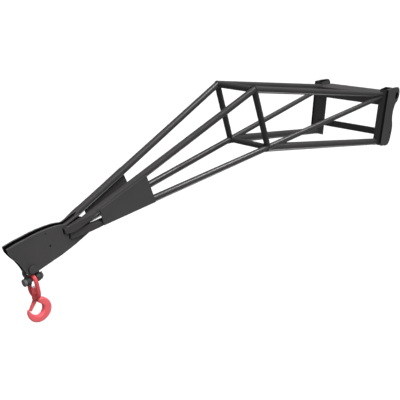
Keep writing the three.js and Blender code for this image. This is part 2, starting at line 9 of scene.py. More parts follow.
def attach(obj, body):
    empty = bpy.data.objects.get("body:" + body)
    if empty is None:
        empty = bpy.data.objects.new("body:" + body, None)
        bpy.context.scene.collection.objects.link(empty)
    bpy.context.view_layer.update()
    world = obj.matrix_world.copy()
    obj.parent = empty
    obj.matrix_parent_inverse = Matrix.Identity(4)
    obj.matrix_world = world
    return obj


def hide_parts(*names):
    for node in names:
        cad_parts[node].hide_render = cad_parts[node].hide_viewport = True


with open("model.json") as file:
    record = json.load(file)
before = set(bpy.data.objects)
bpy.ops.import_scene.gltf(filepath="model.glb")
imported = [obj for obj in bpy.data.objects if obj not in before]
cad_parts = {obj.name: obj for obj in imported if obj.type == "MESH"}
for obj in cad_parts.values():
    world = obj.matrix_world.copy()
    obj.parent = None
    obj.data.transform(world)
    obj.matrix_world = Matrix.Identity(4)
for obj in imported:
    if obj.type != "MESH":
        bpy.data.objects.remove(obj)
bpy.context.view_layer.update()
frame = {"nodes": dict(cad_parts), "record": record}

scene = bpy.context.scene
N = frame["nodes"]
MM = 0.001
OX, OZ = 365.0, 18.0     # drawing datum to the jib's own frame, mm


def T(x, y, z):
    """Drawing millimetres to metres in the jib's own frame."""
    return Vector(((x + OX) * MM, y * MM, (z + OZ) * MM))


# ------------------------------------------------------------------ camera
cam_data = bpy.data.cameras.new("camera")
cam = bpy.data.objects.new("camera", cam_data)
scene.collection.objects.link(cam)
YAW, PITCH = math.radians(50.926), math.radians(23.679)
look = Vector((-math.sin(YAW) * math.cos(PITCH), -math.cos(YAW) * math.cos(PITCH), -math.sin(PITCH)))
cam.location = (5.5853, 2.1472, 1.1068)
cam.rotation_mode = "QUATERNION"
cam.rotation_quaternion = look.to_track_quat("-Z", "Y")
cam_data.sensor_width = 36.0
cam_data.lens = 43.74
cam_data.clip_start, cam_data.clip_end = 0.02, 9000.0
scene.camera = cam


# ------------------------------------------------------------------ node helpers
def new_material(name):
    m = bpy.data.materials.new(name)
    m.use_nodes = True
    nt = m.node_tree
    nt.nodes.clear()
    out = nt.nodes.new("ShaderNodeOutputMaterial")
    bs = nt.nodes.new("ShaderNodeBsdfPrincipled")
    nt.links.new(bs.outputs[0], out.inputs[0])
    return m, nt, bs


def node(nt, kind, **values):
    n = nt.nodes.new(kind)
    for k, v in values.items():
        if k in n.inputs:
            n.inputs[k].default_value = v
        else:
            setattr(n, k, v)
    return n


def coords(nt):
    g = nt.nodes.new("ShaderNodeNewGeometry")
    return g.outputs["Position"]


def object_coords(nt):
    g = nt.nodes.new("ShaderNodeTexCoord")
    return g.outputs["Object"]


def noise(nt, vec, scale, detail=4.0, rough=0.55, distortion=0.0):
    n = nt.nodes.new("ShaderNodeTexNoise")
    n.inputs["Scale"].default_value = scale
    n.inputs["Detail"].default_value = detail
    n.inputs["Roughness"].default_value = rough
    n.inputs["Distortion"].default_value = distortion
    nt.links.new(vec, n.inputs["Vector"])
    return n.outputs["Fac"]


def ramp(nt, fac, stops):
    r = nt.nodes.new("ShaderNodeValToRGB")
    cr = r.color_ramp
    while len(cr.elements) > 1:
        cr.elements.remove(cr.elements[-1])
    for i, (p, c) in enumerate(stops):
        e = cr.elements[0] if i == 0 else cr.elements.new(p)
        e.position = p
        e.color = (*c, 1.0) if len(c) == 3 else c
    nt.links.new(fac, r.inputs["Fac"])
    return r.outputs["Color"]


def mixc(nt, fac, a, b, blend="MIX"):
    m = nt.nodes.new("ShaderNodeMix")
    m.data_type = "RGBA"
    m.blend_type = blend
    for sock, v in ((m.inputs[0], fac), (m.inputs[6], a), (m.inputs[7], b)):
        if isinstance(v, (int, float)):
            sock.default_value = v
        elif isinstance(v, tuple):
            sock.default_value = (*v, 1.0) if len(v) == 3 else v
        else:
            nt.links.new(v, sock)
    return m.outputs[2]


def math_(nt, op, a, b=0.0, clamp=False):
    m = nt.nodes.new("ShaderNodeMath")
    m.operation = op
    m.use_clamp = clamp
    for sock, v in ((m.inputs[0], a), (m.inputs[1], b)):
        if isinstance(v, (int, float)):
            sock.default_value = v
        else:
            nt.links.new(v, sock)
    return m.outputs[0]


def maprange(nt, v, lo, hi, to0=0.0, to1=1.0):
    m = nt.nodes.new("ShaderNodeMapRange")
    m.clamp = True
    m.inputs[1].default_value, m.inputs[2].default_value = lo, hi
    m.inputs[3].default_value, m.inputs[4].default_value = to0, to1
    nt.links.new(v, m.inputs[0])
    return m.outputs[0]


def edge_mask(nt, radius=0.004, samples=6):
    """1 on convex edges: how far a rounded normal leans away from the face normal."""
    bev = nt.nodes.new("ShaderNodeBevel")
    bev.samples = samples
    bev.inputs["Radius"].default_value = radius
    geo = nt.nodes.new("ShaderNodeNewGeometry")
    dot = nt.nodes.new("ShaderNodeVectorMath")
    dot.operation = "DOT_PRODUCT"
    nt.links.new(bev.outputs[0], dot.inputs[0])
    nt.links.new(geo.outputs["Normal"], dot.inputs[1])
    return maprange(nt, dot.outputs["Value"], 0.985, 0.80)


def bump(nt, bs, height, strength=0.2, distance=0.001, prev=None):
    b = nt.nodes.new("ShaderNodeBump")
    b.inputs["Strength"].default_value = strength
    b.inputs["Distance"].default_value = distance
    nt.links.new(height, b.inputs["Height"])
    if prev is not None:
        nt.links.new(prev, b.inputs["Normal"])
    nt.links.new(b.outputs[0], bs.inputs["Normal"])
    return b.outputs[0]


# ------------------------------------------------------------------ materials
def frame_paint(name, base=(0.0590, 0.0560, 0.0570), shade_lift=1.0, wear_and_highlight=0.4, shade_slot_y=0.0, deep=0.0, rub_and_highlight_min=0.05, rub_and_highlight_col=(0.17, 0.165, 0.16), side=False, top_painted_shade=0.0, gloss=(0.40, 0.50)):
    """Sprayed near-black satin paint: fine orange peel, dust on upward faces, thin rubbed edges; its options add
    painted shade (per-part darkening, post cap, slot between plates, ear hole, side plate front edge) and a painted
    highlight on edges.
    """
    m, nt, bs = new_material(name)
    pos = coords(nt)
    big = noise(nt, pos, 2.6, 3.0, 0.5)
    mid = noise(nt, pos, 19.0, 5.0, 0.6)
    fine = noise(nt, pos, 420.0, 3.0, 0.5)
    speck = noise(nt, pos, 95.0, 6.0, 0.75)
    c0 = tuple(v * 0.94 * shade_lift for v in base)
    c1 = tuple(v * 1.08 * shade_lift for v in base)
    col = mixc(nt, maprange(nt, big, 0.35, 0.65), c0, c1)
    col = mixc(nt, maprange(nt, mid, 0.45, 0.75, 0.0, 0.20), col, tuple(v * 1.25 * shade_lift for v in base))
    geo = nt.nodes.new("ShaderNodeNewGeometry")
    sep = nt.nodes.new("ShaderNodeSeparateXYZ")
    nt.links.new(geo.outputs["Normal"], sep.inputs[0])
    up = maprange(nt, sep.outputs["Z"], 0.25, 0.95)
    dust = math_(nt, "MULTIPLY", up, maprange(nt, speck, 0.35, 0.8, 0.02, 0.16))
    col = mixc(nt, dust, col, (0.110, 0.104, 0.100))
    # rubbed edges: real worn paint; on the head plates, with a high minimum and a light colour, mostly a painted
    # highlight along every edge
    e = edge_mask(nt, 0.0030)
    rub = math_(nt, "MULTIPLY", e, maprange(nt, noise(nt, pos, 30.0, 5.0, 0.7), 0.45, 0.65, rub_and_highlight_min, wear_and_highlight))
    col = mixc(nt, rub, col, rub_and_highlight_col)
    chips = math_(nt, "MULTIPLY", maprange(nt, noise(nt, pos, 63.0, 4.0, 0.85), 0.765, 0.785), maprange(nt, big, 0.42, 0.62, 0.2, 1.0))
    col = mixc(nt, math_(nt, "MULTIPLY", chips, 0.35), col, (0.125, 0.115, 0.105))
    if top_painted_shade:
        # painted shade: the upward cap of the post is painted nearly black
        col = mixc(nt, maprange(nt, sep.outputs["Z"], 0.55, 0.85, 0.0, top_painted_shade), col, (0.006, 0.006, 0.006))
    if side:
        # painted shade: the front edge of the side plate and the hole in the ear are painted nearly black
        sp = nt.nodes.new("ShaderNodeSeparateXYZ")
        nt.links.new(pos, sp.inputs[0])
        rr = math_(nt, "SQRT", math_(nt, "ADD", math_(nt, "MULTIPLY", sp.outputs["X"], sp.outputs["X"]), math_(nt, "MULTIPLY", sp.outputs["Z"], sp.outputs["Z"])))
        hole = maprange(nt, rr, 0.0420, 0.0412)
        front = maprange(nt, sp.outputs["X"], 0.2862, 0.2872)
        col = mixc(nt, math_(nt, "MAXIMUM", hole, math_(nt, "MULTIPLY", front, 0.97)), col, (0.004, 0.004, 0.004))
    if shade_slot_y:
        # painted shade: the faces between the two plates, or deep in the ears, are painted nearly black
        sp = nt.nodes.new("ShaderNodeSeparateXYZ")
        nt.links.new(pos, sp.inputs[0])
        ay = math_(nt, "ABSOLUTE", sp.outputs["Y"])
        slot_shade = maprange(nt, ay, shade_slot_y + 0.0006, shade_slot_y - 0.0006) if not deep else maprange(nt, ay, shade_slot_y - 0.0006, shade_slot_y + 0.0006)
        col = mixc(nt, slot_shade, col, (0.004, 0.004, 0.004))
    nt.links.new(col, bs.inputs["Base Color"])
    rough = maprange(nt, mid, 0.3, 0.7, *gloss)
    rough = math_(nt, "ADD", rough, math_(nt, "MULTIPLY", dust, 0.25))
    nt.links.new(rough, bs.inputs["Roughness"])
    bs.inputs["Metallic"].default_value = 0.0
    bs.inputs["Specular IOR Level"].default_value = 0.5
    b = bump(nt, bs, fine, 0.08, 0.0003)
    bump(nt, bs, mid, 0.04, 0.0015, b)
    return m


def weld_paint(name):
    """Painted weld bead: stacked ripples under the same paint."""
    m, nt, bs = new_material(name)
    pos = coords(nt)
    mid = noise(nt, pos, 60.0, 5.0, 0.6)
    col = mixc(nt, maprange(nt, mid, 0.35, 0.7), (0.046, 0.043, 0.044), (0.080, 0.076, 0.076))
    nt.links.new(col, bs.inputs["Base Color"])
    bs.inputs["Roughness"].default_value = 0.42
    bs.inputs["Specular IOR Level"].default_value = 0.3
    bump(nt, bs, noise(nt, pos, 300.0, 3.0, 0.6), 0.30, 0.0006)
    return m


def dark_gap(name):
    """Unlit inside of a slit."""
    m, nt, bs = new_material(name)
    pos = coords(nt)
    g = noise(nt, pos, 80.0, 3.0, 0.5)
    nt.links.new(mixc(nt, maprange(nt, g, 0.3, 0.7), (0.0015, 0.0015, 0.0016), (0.004, 0.004, 0.004)), bs.inputs["Base Color"])
    bs.inputs["Roughness"].default_value = 0.9
    bs.inputs["Specular IOR Level"].default_value = 0.05
    return m


def red_paint(name, low=(0.80, 0.110, 0.128), high=(0.90, 0.140, 0.156), top=(0.92, 0.18, 0.20), shade=1.0):
    """Red enamel on a forging: slight pooling, painted shade in the hollows, tiny chips on edges."""
    m, nt, bs = new_material(name)
    pos = object_coords(nt)
    big = noise(nt, pos, 14.0, 3.0, 0.5)
    mid = noise(nt, pos, 90.0, 5.0, 0.6)
    fine = noise(nt, pos, 600.0, 2.0, 0.5)
    col = mixc(nt, maprange(nt, big, 0.3, 0.7), low, high)
    col = mixc(nt, maprange(nt, mid, 0.5, 0.8, 0.0, 0.30), col, top)
    # painted shade: ambient occlusion darkens the red in hollows and creases
    ao = nt.nodes.new("ShaderNodeAmbientOcclusion")
    ao.samples = 8
    ao.inputs["Distance"].default_value = 0.012
    hollow_shade = maprange(nt, ao.outputs["AO"], 0.75, 0.30, 0.0, shade)
    col = mixc(nt, hollow_shade, col, (0.40, 0.020, 0.034))
    e = edge_mask(nt, 0.0025)
    rub = math_(nt, "MULTIPLY", e, maprange(nt, noise(nt, pos, 120.0, 5.0, 0.7), 0.5, 0.68, 0.0, 0.45))
    col = mixc(nt, rub, col, (0.92, 0.34, 0.35))
    nt.links.new(col, bs.inputs["Base Color"])
    nt.links.new(maprange(nt, mid, 0.3, 0.7, 0.32, 0.46), bs.inputs["Roughness"])
    bs.inputs["Specular IOR Level"].default_value = 0.45
    b = bump(nt, bs, mid, 0.14, 0.0010)
    bump(nt, bs, fine, 0.05, 0.0003, b)
    return m


def steel(name, dark, light, rough=(0.3, 0.5), metallic=0.9, grain=260.0, rust=0.0):
    m, nt, bs = new_material(name)
    pos = object_coords(nt)
    big = noise(nt, pos, 25.0, 4.0, 0.55)
    mid = noise(nt, pos, 130.0, 6.0, 0.65)
    fine = noise(nt, pos, grain, 3.0, 0.5)
    col = mixc(nt, maprange(nt, big, 0.3, 0.7), dark, light)
    col = mixc(nt, maprange(nt, mid, 0.45, 0.8, 0.0, 0.5), col, tuple(v * 0.6 for v in dark))
    if rust:
        r = maprange(nt, noise(nt, pos, 48.0, 7.0, 0.75), 0.55, 0.70, 0.0, rust)
        col = mixc(nt, r, col, (0.16, 0.075, 0.035))
    e = edge_mask(nt, 0.0018)
    col = mixc(nt, math_(nt, "MULTIPLY", e, 0.5), col, tuple(min(1.0, v * 1.8) for v in light))
    nt.links.new(col, bs.inputs["Base Color"])
    nt.links.new(maprange(nt, mid, 0.3, 0.75, *rough), bs.inputs["Roughness"])
    bs.inputs["Metallic"].default_value = metallic
    b = bump(nt, bs, mid, 0.15, 0.0008)
    bump(nt, bs, fine, 0.08, 0.0003, b)
    return m


# shade_lift darkens the same near-black paint part by part where less light falls: painted shade, strongest on the
# crossbar, the tubes and the side plates
PAINT = frame_paint("paint_near_black", shade_lift=0.94)
PAINT_TUBE = frame_paint("paint_tube_shaded", shade_lift=0.68, gloss=(0.27, 0.35))
PAINT_CROSS = frame_paint("paint_crossbar_shaded", shade_lift=0.62)
WELD = weld_paint("paint_weld_bead")
GAPDARK = dark_gap("slit_shadow")
# the head plates get a light rubbed colour on every edge: a painted highlight along the edges
PAINT_HEAD = frame_paint("paint_head_plate", shade_slot_y=0.0146, shade_lift=0.93, wear_and_highlight=1.0, rub_and_highlight_min=0.80, rub_and_highlight_col=(0.34, 0.332, 0.33))
PAINT_SIDE = frame_paint("paint_side_plate", side=True, shade_lift=0.78)
PAINT_POST = frame_paint("paint_post", top_painted_shade=0.95, shade_lift=0.97)
PAINT_EAR = frame_paint("paint_in_ear", shade_slot_y=0.410, deep=1.0)
RED = red_paint("paint_red_enamel", (0.90, 0.126, 0.145), (0.95, 0.153, 0.172), (0.96, 0.19, 0.21))
# the eye gets a darker copy of the hook's red enamel, painted shade; the nut a brighter copy without hollow shade,
# painted light
RED_SHADED_EYE = red_paint("paint_red_enamel_shaded_eye", (0.63, 0.068, 0.080), (0.72, 0.088, 0.100), (0.77, 0.12, 0.135))
RED_LIT_NUT = red_paint("paint_red_enamel_lit_nut", (0.94, 0.150, 0.170), (0.97, 0.180, 0.200), (0.97, 0.22, 0.24), 0.0)
FORGED = steel("steel_forged_dark", (0.050, 0.058, 0.060), (0.086, 0.097, 0.099), (0.38, 0.55), 0.4, 200.0, 0.05)
BARE = steel("steel_worn", (0.13, 0.13, 0.135), (0.24, 0.24, 0.245), (0.30, 0.46), 0.9, 320.0, 0.15)
BOLT = steel("steel_bolt", (0.150, 0.138, 0.147), (0.285, 0.255, 0.270), (0.30, 0.44), 0.4, 300.0, 0.03)
NUT = steel("steel_nut", (0.056, 0.055, 0.058), (0.104, 0.101, 0.105), (0.34, 0.48), 0.4, 300.0, 0.04)
CAPMAT = steel("steel_machined_bright", (0.80, 0.77, 0.77), (0.93, 0.90, 0.90), (0.34, 0.48), 0.1, 380.0)
ZINC = steel("steel_zinc", (0.45, 0.46, 0.47), (0.62, 0.63, 0.64), (0.26, 0.40), 0.95, 380.0)

SLOT_MAT = {"frame_paint": PAINT, "red_paint": RED, "shackle_steel": FORGED, "bare_steel": BARE, "zinc": ZINC}
SLOT_OF = {s["node"]: s["material_slot"] for s in frame["record"]["subparts"]}
for name, ob in N.items():
    ob.data.materials.clear()
    ob.data.materials.append(BOLT if name == "shackle_bolt" else NUT if name == "shackle_nut" else SLOT_MAT[SLOT_OF[name]])


# ------------------------------------------------------------------ piece helpers
def piece(name, bm_or_mesh, material, body, nodes=(), smooth=None):
    if isinstance(bm_or_mesh, bmesh.types.BMesh):
        me = bpy.data.meshes.new(name)
        bm_or_mesh.to_mesh(me)
        bm_or_mesh.free()
    else:
        me = bm_or_mesh
    ob = bpy.data.objects.new(name, me)
    scene.collection.objects.link(ob)
    me.materials.clear()
    me.materials.append(material)
    if smooth is not None:
        me.shade_smooth()
        me.set_sharp_from_angle(angle=math.radians(smooth))
    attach(ob, body)
    if nodes:
        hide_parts(*nodes)
    return ob


def apply_modifiers(ob):
    bpy.context.view_layer.update()
    dg = bpy.context.evaluated_depsgraph_get()
    me = bpy.data.meshes.new_from_object(ob.evaluated_get(dg))
    mats = list(ob.data.materials)
    ob.modifiers.clear()
    ob.data = me
    me.materials.clear()
    for m in mats:
        me.materials.append(m)
    return ob


def rounded_copy(node_name, width, segments=3, angle=30.0, body="frame", material=None, weighted=True):
    """A copy of a CAD node with its flat faces merged and its sharp edges rounded; it stands for the node."""
    src = N[node_name]
    bm = bmesh.new()
    bm.from_mesh(src.data)
    bmesh.ops.remove_doubles(bm, verts=bm.verts, dist=1e-6)
    bmesh.ops.dissolve_limit(bm, angle_limit=math.radians(1.0), verts=bm.verts, edges=bm.edges, delimit=set())
    me = bpy.data.meshes.new("round_" + node_name)
    bm.to_mesh(me)
    bm.free()
    ob = bpy.data.objects.new("round_" + node_name, me)
    scene.collection.objects.link(ob)
    mod = ob.modifiers.new("bevel", "BEVEL")
    mod.width = width
    mod.segments = segments
    mod.limit_method = "ANGLE"
    mod.angle_limit = math.radians(angle)
    mod.harden_normals = False
    mod.miter_outer = "MITER_ARC"
    apply_modifiers(ob)
    ob.data.materials.clear()
    ob.data.materials.append(material or SLOT_MAT[SLOT_OF[node_name]])
    ob.data.shade_smooth()
    ob.data.set_sharp_from_angle(angle=math.radians(32))
    if weighted:
        w = ob.modifiers.new("wn", "WEIGHTED_NORMAL")
        w.keep_sharp = True
        w.weight = 60
        apply_modifiers(ob)
    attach(ob, body)
    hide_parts(node_name)
    return ob


PLATES = {
    "side_plate_left": 2.0, "side_plate_right": 2.0, "post_left": 1.2, "post_right": 1.2, "upper_beam": 1.2, "lower_crossbar": 1.2,
    "ear_bush_left": 1.2, "ear_bush_right": 1.2, "lock_bush_left": 1.2, "lock_bush_right": 1.2, "hitch_bar": 1.2,
    "side_gusset_left": 0.8, "side_gusset_right": 0.8, "head_plate_left": 1.0, "head_plate_right": 1.0,
    "pin_collar": 1.0, "head_spacer_1": 0.6, "head_spacer_2": 0.6, "head_pin": 1.2,
    "end_cover_upper_left": 0.6, "end_cover_upper_right": 0.6, "end_cover_lower_left": 0.6, "end_cover_lower_right": 0.6,
}
VARIANT = {"lower_crossbar": PAINT_CROSS, "post_left": PAINT_POST, "post_right": PAINT_POST, "side_plate_left": PAINT_SIDE, "side_plate_right": PAINT_SIDE, "head_plate_left": PAINT_HEAD, "head_plate_right": PAINT_HEAD, "head_spacer_1": PAINT_HEAD, "head_spacer_2": PAINT_HEAD,
           "ear_bush_left": PAINT_EAR, "ear_bush_right": PAINT_EAR}
for name, w in PLATES.items():
    ob = rounded_copy(name, w * MM, material=VARIANT.get(name))
    if name.startswith(("head_plate", "ear_bush", "post_")):
        # painted shade: the faces between the two head plates, the sunken end and bore of the ear bush, and the cap of
        # the post get the near-black slit shadow
        ob.data.materials.append(GAPDARK)
        for f in ob.data.polygons:
            ys = [abs(ob.data.vertices[i].co.y) for i in f.vertices]
            c = f.center
            if name.startswith("head_plate"):
                dark = max(ys) < 0.0146
            elif name.startswith("post_"):
                dark = f.normal.z > 0.75 and c.z > 0.08
            else:
                dark = (min(ys) > 0.410 and abs(f.normal.y) > 0.3) or (c.x * f.normal.x + c.z * f.normal.z < -0.5 * math.hypot(c.x, c.z))
            if dark:
                f.material_index = 1


# ------------------------------------------------------------------ tubes and their welds
def radial(p, a, d):
    w = p - a
    t = w.dot(d)
    r = w - d * t
    return t, r


def weld_bead(name, chains, radius=3.0, body="frame", pitch=4.2, sections=8, material=None):
    """Rippled weld bead swept along each chain of points; a chain is (points, closed)."""
    bm = bmesh.new()
    for points, closed in chains:
        pts = [Vector(p) for p in points]
        if closed:
            pts.append(pts[0].copy())
        cum = [0.0]
        for p, q in zip(pts, pts[1:]):
            cum.append(cum[-1] + (q - p).length)
        total = cum[-1]
        if total < 0.012:
            continue
        n = max(8, int(total / (pitch * MM / 2.6)))
        out, k = [], 0
        for i in range(n if closed else n + 1):
            s_ = total * i / n
            while k < len(cum) - 2 and cum[k + 1] < s_:
                k += 1
            f = (s_ - cum[k]) / max(1e-9, cum[k + 1] - cum[k])
            out.append(pts[k].lerp(pts[k + 1], f))
        for _ in range(3):
            sm = []
            for i, p in enumerate(out):
                if not closed and i in (0, len(out) - 1):
                    sm.append(p)
                else:
                    sm.append(out[i - 1] * 0.25 + p * 0.5 + out[(i + 1) % len(out)] * 0.25)
            out = sm
        rings, m = [], len(out)
        for i, c in enumerate(out):
            tg = (out[(i + 1) % m] - out[i - 1]) if closed or 0 < i < m - 1 else (out[1] - out[0] if i == 0 else out[-1] - out[-2])
            tg.normalize()
            ref = Vector((0, 0, 1)) if abs(tg.z) < 0.8 else Vector((0, 1, 0))
            u = tg.cross(ref).normalized()
            v = tg.cross(u)
            s_ = total * i / n
            r = radius * MM * (0.90 + 0.13 * math.sin(2 * math.pi * s_ / (pitch * MM)) + 0.10 * math.sin(37.0 * s_ + i * 0.13))
            if not closed and i in (0, m - 1):
                r *= 0.55
            rings.append([bm.verts.new(c + (u * math.cos(t) + v * math.sin(t)) * r) for t in (2 * math.pi * j / sections for j in range(sections))])
        for i in range(m if closed else m - 1):
            A, B = rings[i], rings[(i + 1) % m]
            for j in range(sections):
                bm.faces.new((A[j], A[(j + 1) % sections], B[(j + 1) % sections], B[j]))
        if not closed:
            bm.faces.new(rings[0][::-1])
            bm.faces.new(rings[-1])
    bmesh.ops.recalc_face_normals(bm, faces=bm.faces)
    return piece(name, bm, material or WELD, body, smooth=60)


def outer_loops(node_name, a, d, r):
    """Chains of the sharp outline edges that lie on a tube's outer surface: its cut ends."""
    bm = bmesh.new()
    bm.from_mesh(N[node_name].data)
    bmesh.ops.remove_doubles(bm, verts=bm.verts, dist=1e-6)
    link = {}
    for e in bm.edges:
        if len(e.link_faces) != 2:
            continue
        if e.calc_face_angle(0.0) < math.radians(30):
            continue
        if all(radial(v.co, a, d)[1].length > r * 0.982 for v in e.verts):
            i, j = e.verts[0].index, e.verts[1].index
            link.setdefault(i, set()).add(j)
            link.setdefault(j, set()).add(i)
    co = {v.index: v.co.copy() for v in bm.verts}
    bm.free()
    chains = []
    while link:
        ends = [k for k, v in link.items() if len(v) != 2]
        start = ends[0] if ends else next(iter(link))
        chain, cur = [start], start
        while link.get(cur):
            nx = next(iter(link[cur]))
            link[cur].discard(nx)
            link[nx].discard(cur)
            if not link[cur]:
                link.pop(cur)
            cur = nx
            chain.append(cur)
            if cur == start:
                break
        if cur in link and not link[cur]:
            link.pop(cur)
        link = {k: v for k, v in link.items() if v}
        closed = len(chain) > 3 and chain[0] == chain[-1]
        if closed:
            chain = chain[:-1]
        if len(chain) > 2:
            chains.append(([co[k] for k in chain], closed))
    return chains


def smooth_tube(node_name, a, b, r, bore, planes=36):
    """A copy of a faceted tube with four times as many sides; its ends keep their cut."""
    d = (b - a).normalized()
    bm = bmesh.new()
    bm.from_mesh(N[node_name].data)
    bmesh.ops.remove_doubles(bm, verts=bm.verts, dist=1e-6)
    bmesh.ops.dissolve_limit(bm, angle_limit=math.radians(0.8), verts=bm.verts, edges=bm.edges, delimit=set())
    ref = Vector((0, 0, 1)) if abs(d.z) < 0.8 else Vector((0, 1, 0))
    u = d.cross(ref).normalized()
    v = d.cross(u)
    for i in range(planes):
        t = math.pi * (i + 0.37) / planes
        bmesh.ops.bisect_plane(bm, geom=list(bm.verts) + list(bm.edges) + list(bm.faces), dist=2e-6,
                               plane_co=a, plane_no=u * math.cos(t) + v * math.sin(t))
    for w in bm.verts:
        t, rad = radial(w.co, a, d)
        L = rad.length
        if r * 0.982 < L < r * 1.002:
            w.co = a + d * t + rad * (r / L)
        elif bore * 0.955 < L < bore * 1.002:
            w.co = a + d * t + rad * (bore / L)
    return piece("tube_" + node_name, bm, PAINT_TUBE, "frame", nodes=(node_name,), smooth=28)


for s in (1, -1):
    side = "left" if s > 0 else "right"

    def P(x, y, z):
        return T(x, s * y, z)

    KU, KL = P(2150, 171.5, 392), P(1933, 187.4, -105.4)
    tubes = {
        "top_chord_rear": (P(0, 350, 43), KU, 27.0, 23.2),
        "top_chord_front": (KU, P(3811, 39.8, -177.5), 24.15, 20.5),
        "long_chord": (P(0, 350, 1), P(3780, 32.1, -207), 24.15, 20.5),
        "bottom_strut": (P(0, 350, -480), KL, 35.0, 31.0),
        "knee_post": (KU, KL, 24.15, 20.5),
    }
    for key, (a, b, r, bore) in tubes.items():
        name = key + "_" + side
        chains = outer_loops(name, a, (b - a).normalized(), r * MM)
        if chains:
            weld_bead("weld_" + name, chains, {"top_chord_rear": 1.6, "top_chord_front": 1.9, "bottom_strut": 3.4}.get(key, 2.8))
        smooth_tube(name, a, b, r * MM, bore * MM)
for key, (x, z) in {"knee_cross_upper": (2150, 392), "knee_cross_lower": (1933, -105.4)}.items():
    a, b = T(x, -100, z), T(x, 100, z)
    chains = outer_loops(key, a, (b - a).normalized(), 24.15 * MM)
    if chains:
        weld_bead("weld_" + key, chains, 2.6)
    smooth_tube(key, a, b, 24.15 * MM, 20.5 * MM)


# plate welds of the coupler and the gussets
def line(points, closed=False):
    return ([Vector(p) for p in points], closed)


FX = -77.0
for s in (1, -1):
    side = "left" if s > 0 else "right"
    rows = [
        line([T(FX - 2.2, s * 405.2, -505), T(FX - 2.2, s * 405.2, 74)]),
        line([T(-246.5, s * 405.2, -566), T(-246.5, s * 405.2, 70)]),
        line([T(-240, s * 405.0, 82.5), T(-92, s * 405.0, 82.5)]),
    ]
    prof = [T(FX - 0.6, s * 335.9, -82)] + [T(FX - 0.6, s * 335.9, z) for z in (-50, -20, 10)]
    prof += [T(FX - 16 + 15.4 * math.cos(math.radians(t)), s * 335.9, 18 + 15.4 * math.sin(math.radians(t))) for t in (15, 30, 45, 60, 75, 90)]
    prof += [T(x, s * 335.9, 33.4) for x in (-120, -180, -244)]
    rows.append(line(prof))
    rows.append(line([T(FX - 0.5, s * 335.9, -412), T(FX - 0.5, s * 335.9, -342)]))
    rows.append(line([T(FX - 14.5, s * 335.9, -412), T(FX - 14.5, s * 335.9, -342)]))
    rows.append(line([T(FX - 9.6, s * 335.9, -84), T(FX - 9.6, s * 335.9, 8)]))
    weld_bead("weld_coupler_" + side, rows, 3.0)
    # painted shade: a near-black ring around the disc of the head pin, or its collar, where it meets the plate
    seam = [T(4041 + 25.0 * math.cos(2 * math.pi * i / 48), s * 26.2, -307 + 25.0 * math.sin(2 * math.pi * i / 48)) for i in range(48)]
    weld_bead("shade_ring_head_pin_" + side, [(seam, True)], 1.3, material=GAPDARK)
    # ring beads at the inner end of the ear bush
    ring = [T(-365 + 43.8 * math.cos(2 * math.pi * i / 40), s * 404.4, -18 + 43.8 * math.sin(2 * math.pi * i / 40)) for i in range(40)]
    weld_bead("weld_ear_" + side, [(ring, True)], 2.6)
    # beads along the long edges of the gusset
    g = N["side_gusset_" + side]
    pts = [v.co.copy() for v in g.data.vertices]
    bm = bmesh.new()
    bm.from_mesh(g.data)
    bmesh.ops.remove_doubles(bm, verts=bm.verts, dist=1e-6)
    bmesh.ops.dissolve_limit(bm, angle_limit=math.radians(1.0), verts=bm.verts, edges=bm.edges, delimit=set())
    big = max(bm.faces, key=lambda f: f.calc_area() if f.calc_center_median().y * s >= 0 and f.normal.y * s > 0.3 else 0.0)
    loop = [v.co.copy() for v in big.verts]
    inward = big.normal.copy() * -1.0
    bm.free()
    longs = sorted(((loop[i - 1], loop[i]) for i in range(len(loop))), key=lambda e: -(e[0] - e[1]).length)[:2]
    rows = []
    for p, q in longs:
        steps = 24
        rows.append(([p.lerp(q, (i + 0.5) / (steps + 1)) + inward * 5.2 * MM for i in range(steps + 1)], False))
    weld_bead("weld_gusset_" + side, rows, 2.6)

# painted shade: near-black strips at the closed ends of the chords, and near-black rings at the small plug welds on
# the head plates
for s in (1, -1):
    side = "left" if s > 0 else "right"
    dots = []
    for x, z in ((3915, -217), (3935, -135)):
        ring = [T(x + 4.2 * math.cos(2 * math.pi * i / 16), s * 25.6, z + 4.2 * math.sin(2 * math.pi * i / 16)) for i in range(16)]
        dots.append((ring, True))
    weld_bead("plug_weld_shade_upper_" + side, dots[1:], 1.1, material=GAPDARK)
    weld_bead("plug_weld_shade_lower_" + side, dots[:1], 2.2, material=GAPDARK)
    bm = bmesh.new()
    for quad in (((3819.5, -147), (3827.5, -147), (3821.5, -186), (3814.5, -186)), ((3782.5, -190), (3788.5, -190), (3789.5, -229), (3784.5, -229))):
        lo_ = [bm.verts.new(T(x, s * 25.9, z)) for x, z in quad]
        hi_ = [bm.verts.new(T(x, s * 26.7, z)) for x, z in quad]
        bm.faces.new(lo_)
        bm.faces.new(hi_[::-1])
        for i in range(4):
            bm.faces.new((lo_[i], hi_[i], hi_[(i + 1) % 4], lo_[(i + 1) % 4]))
    bmesh.ops.recalc_face_normals(bm, faces=bm.faces)
    bmesh.ops.bevel(bm, geom=list(bm.edges), offset=0.25 * MM, segments=2, affect="EDGES")
    piece("chord_end_shade_strips_" + side, bm, GAPDARK, "frame", smooth=40)


